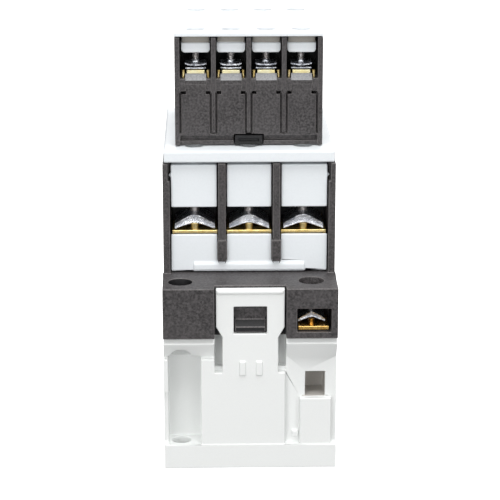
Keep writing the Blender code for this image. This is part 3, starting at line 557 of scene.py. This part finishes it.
def dress_bars():
    """The stamped bars and bridges, silver on their contact pads, and the brass nubs under the clamps."""
    def fixed_pad(c, n):
        return c.z > 60.8 and abs(c.y) < 9.0

    def moving_pad(c, n):
        return c.z < 66.65

    for end in ENDS:
        turn = -1.0 if end == "load" else 1.0
        softened(f"coil_bar_{end}", f"coil_contact_{end}", "coil_brass", 0.15)
        centre = centre_of(f"coil_screw_{end}")[0] / MM
        nub = collar(f"coil_nub_{end}", (centre[0], centre[1] - turn * 3.0), 38.95, 40.1, 0.62, 0.85)
        place_piece(nub.name, nub, "coil_brass", "housing")
        for n in POLES:
            softened(f"{end}_bar_{n}", f"{end}_contact_{n}", "brass", 0.15, [("contact", fixed_pad)])
            centre = centre_of(f"{end}_screw_{n}")[0] / MM
            nub = collar(f"{end}_nub_{n}", (centre[0], centre[1] - turn * 4.1), 60.7, 62.4, 0.95, 1.22)
            place_piece(nub.name, nub, "brass", "housing")
        for n in AUX_POLES:
            softened(f"aux_{end}_bar_{n}", f"aux_{end}_contact_{n}", "bright", 0.12)
            centre = centre_of(f"aux_{end}_screw_{n}")[0] / MM
            for mark, side in (("a", -1), ("b", 1)):
                pin = collar(f"aux_{end}_pin_{n}{mark}", (centre[0] + side * 3.25, centre[1] - turn * 3.6),
                             100.0, 101.9, 0.36, 0.44)
                place_piece(pin.name, pin, "brass", "housing")
    for n in POLES:
        softened(f"bridge_{n}", f"bridge_contact_{n}", "brass", 0.12, [("contact", moving_pad)])


def dress_screws():
    """The clamp screws and their saddles: hammered arches, or a pair of plates in the auxiliary block."""
    for end in ENDS:
        for n in POLES:
            node = f"{end}_screw_{n}"
            centre, low, high = centre_of(node)
            mesh = screw_mesh(f"main_screw_{end}_{n}", centre, high[2] / MM, low[2] / MM,
                              high[2] / MM - 3.0, 2.7, 1.2, 0.6)
            place_piece(mesh.name, mesh, "thread", BODY_OF[node], (node,))
            node = f"{end}_clamp_{n}"
            centre, low, high = centre_of(node)
            mesh = bent_clamp(f"saddle_{end}_{n}", centre, 5.2, 10.0, low[2] / MM, 62.4, 64.8, 2.2, 1.4)
            place_piece(mesh.name, mesh, "silver", BODY_OF[node], (node,))
        node = "coil_screw_" + end
        centre = centre_of(node)[0]
        mesh = screw_mesh("coil_driver_" + end, centre, 47.2, 37.0, 45.0, 2.6, 1.0, 0.5)
        place_piece(mesh.name, mesh, "thread", BODY_OF[node], (node,))
        mesh = bent_clamp("coil_saddle_" + end, centre, 3.45, 7.0, 39.25, 40.2, 41.9, 1.4, 0.9)
        place_piece(mesh.name, mesh, "silver", BODY_OF[node])
        for n in AUX_POLES:
            node = f"aux_{end}_screw_{n}"
            centre = centre_of(node)[0]
            mesh = screw_mesh(f"aux_driver_{end}_{n}", centre, 108.4, 99.4, 106.6, 2.0, 0.85, 0.45)
            place_piece(mesh.name, mesh, "thread", BODY_OF[node], (node,))
            mesh = dished_plate(f"aux_washer_{end}_{n}", centre, 2.75, 6.0, 102.95, 0.45, 0.35, 0.45)
            place_piece(mesh.name, mesh, "silver", BODY_OF[node])
            mesh = dished_plate(f"aux_clamp_{end}_{n}", centre, 2.6, 5.8, 102.1, 0.42, 0.06, 0.0)
            place_piece(mesh.name, mesh, "silver", BODY_OF[node])
            mesh = collar(f"aux_collar_{end}_{n}", centre / MM, 103.6, 104.15, 1.35, 1.15)
            place_piece(mesh.name, mesh, "silver", BODY_OF[node])


def dress_magnet():
    """The laminated cores, copper rings in the pole faces, the wound coil, its pad and the springs."""
    softened("fixed_core_stack", "fixed_core", "core", 0.15)
    softened("armature_stack", "armature", "core", 0.15)
    softened("core_cushion", "core_pad", "rubber", 0.3)
    place_piece("coil_turns", wound_ring("coil_turns", 15.2, 15.2, 8.8, 6.8, 19.8, 33.2, 0.4), "copper",
                BODY_OF["coil_winding"], ("coil_winding",))
    for side in (-1, 1):
        ring = rounded_loop((0.0, side * 22.35), 7.35, 2.2, 33.3)
        name = "shading_ring_" + ("line" if side < 0 else "load")
        place_piece(name, tube_along(name, ring * MM, 0.42 * MM, 10), "band", "housing")
    for n, y in enumerate((-11.0, 11.0), 1):
        path = coil_path((0.0, y), 35.5 + 0.35, 41.7 - 0.35, 2.6, 5.0)
        name = f"armature_spring_{n}"
        place_piece(name, tube_along(name, path * MM, 0.35 * MM), "spring", BODY_OF[f"return_spring_{n}"],
                    (f"return_spring_{n}",))
    low, high = centre_of("din_clip_spring")[1:]
    path = coil_path((0.0, 3.0), low[1] / MM + 0.25, high[1] / MM - 0.25, 1.3, 6.0)
    path = np.stack([path[:, 0], path[:, 2], path[:, 1]], axis=1)
    place_piece("rail_clip_spring", tube_along("rail_clip_spring", path * MM, 0.25 * MM), "spring",
                BODY_OF["din_clip_spring"], ("din_clip_spring",))
    for n in POLES:
        centre = centre_of(f"bridge_contact_{n}")[0] / MM
        path = coil_path((centre[0], 0.0), 68.2, 74.2, 1.9, 5.0)
        name = f"contact_spring_{n}"
        place_piece(name, tube_along(name, path * MM, 0.28 * MM), "spring", "carrier")
    for n in AUX_POLES:
        centre = centre_of(f"aux_line_screw_{n}")[0] / MM
        closing = n in (1, 4)
        path = coil_path((centre[0], 0.0), *((107.1, 108.6) if closing else (95.2, 99.4)), 1.4, 4.0)
        name = f"aux_contact_spring_{n}"
        place_piece(name, tube_along(name, path * MM, 0.17 * MM), "spring", "aux_slider")


def dress_tongue():
    """The rolled lip across the top of each latch tongue."""
    for end, turn in (("line", 1.0), ("load", -1.0)):
        lip = rolled_lip(f"{end}_tongue_lip", 8.7, turn)
        place_piece(lip.name, lip, "base", "housing")


dress_mouldings()
dress_bars()
dress_screws()
dress_magnet()
dress_tongue()


# ---------------------------------------------------------------- stage
def make_stage():
    """A pale floor that curves up into a backdrop, and soft lights overhead, in front and behind."""
    across = np.linspace(-3.0, 3.0, 2)
    along = np.concatenate([np.linspace(-3.0, 1.2, 6), 1.2 + 0.8 * np.sin(np.linspace(0.1, np.pi / 2, 12)),
                            np.full(4, 2.0)])
    up = np.concatenate([np.zeros(6), 0.8 * (1 - np.cos(np.linspace(0.1, np.pi / 2, 12))),
                         np.linspace(1.0, 3.0, 4)])
    x, y = np.meshgrid(across, along)
    z = np.repeat(up[:, None], 2, axis=1)
    mesh = grid_mesh("floor", np.stack([x, y, z], axis=2))
    floor = bpy.data.objects.new("floor", mesh)
    bpy.context.scene.collection.objects.link(floor)
    paper = Finish("paper", 0.9)
    paper.colour(paper.blend(paper.ranged(paper.noise(40.0), 0, 1), (0.80, 0.80, 0.80), (0.83, 0.83, 0.83)))
    paper.shader.inputs["Emission Color"].default_value = (1.0, 1.0, 1.0, 1.0)
    paper.shader.inputs["Emission Strength"].default_value = 0.7
    mesh.materials.append(paper.material)
    floor.visible_diffuse = False
    floor.visible_glossy = False
    world = bpy.data.worlds.new("studio")
    bpy.context.scene.world = world
    world.use_nodes = True
    world.node_tree.nodes["Background"].inputs["Color"].default_value = (1.0, 1.0, 1.0, 1.0)
    world.node_tree.nodes["Background"].inputs["Strength"].default_value = 0.38
    for name, where, size, power in (("overhead", (0.0, -0.2, 0.9), 0.7, 9.0),
                                     ("front_left", (-0.5, -1.0, 0.28), 0.6, 3.9),
                                     ("front_right", (0.55, -1.0, 0.22), 0.6, 3.2),
                                     ("back", (0.3, 1.1, 0.5), 0.9, 3.0)):
        data = bpy.data.lights.new(name, "AREA")
        data.size = size
        data.energy = power
        lamp = bpy.data.objects.new(name, data)
        bpy.context.scene.collection.objects.link(lamp)
        lamp.location = where
        aim(lamp, (0.0, 0.0, 0.06))


def aim(obj, target):
    """Turns a light or camera so that it looks at a point."""
    ahead = np.array(target) - np.array(obj.location)
    obj.rotation_mode = "QUATERNION"
    obj.rotation_quaternion = Vector(ahead.tolist()).to_track_quat("-Z", "Y")


def make_camera():
    """A long lens half a metre away, looking down at the line end."""
    elevation, azimuth, distance = np.radians(16.2), np.radians(-1.3), 0.506
    target = np.array([0.0001, -0.031, 0.0569])
    back = np.array([np.sin(azimuth) * np.cos(elevation), -np.cos(azimuth) * np.cos(elevation),
                     np.sin(elevation)])
    data = bpy.data.cameras.new("camera")
    data.lens = 140.8
    data.sensor_width = 36.0
    camera = bpy.data.objects.new("camera", data)
    bpy.context.scene.collection.objects.link(camera)
    camera.location = (target + distance * back).tolist()
    aim(camera, target.tolist())
    bpy.context.scene.camera = camera
    bpy.context.scene.view_settings.view_transform = "Standard"


make_stage()
make_camera()
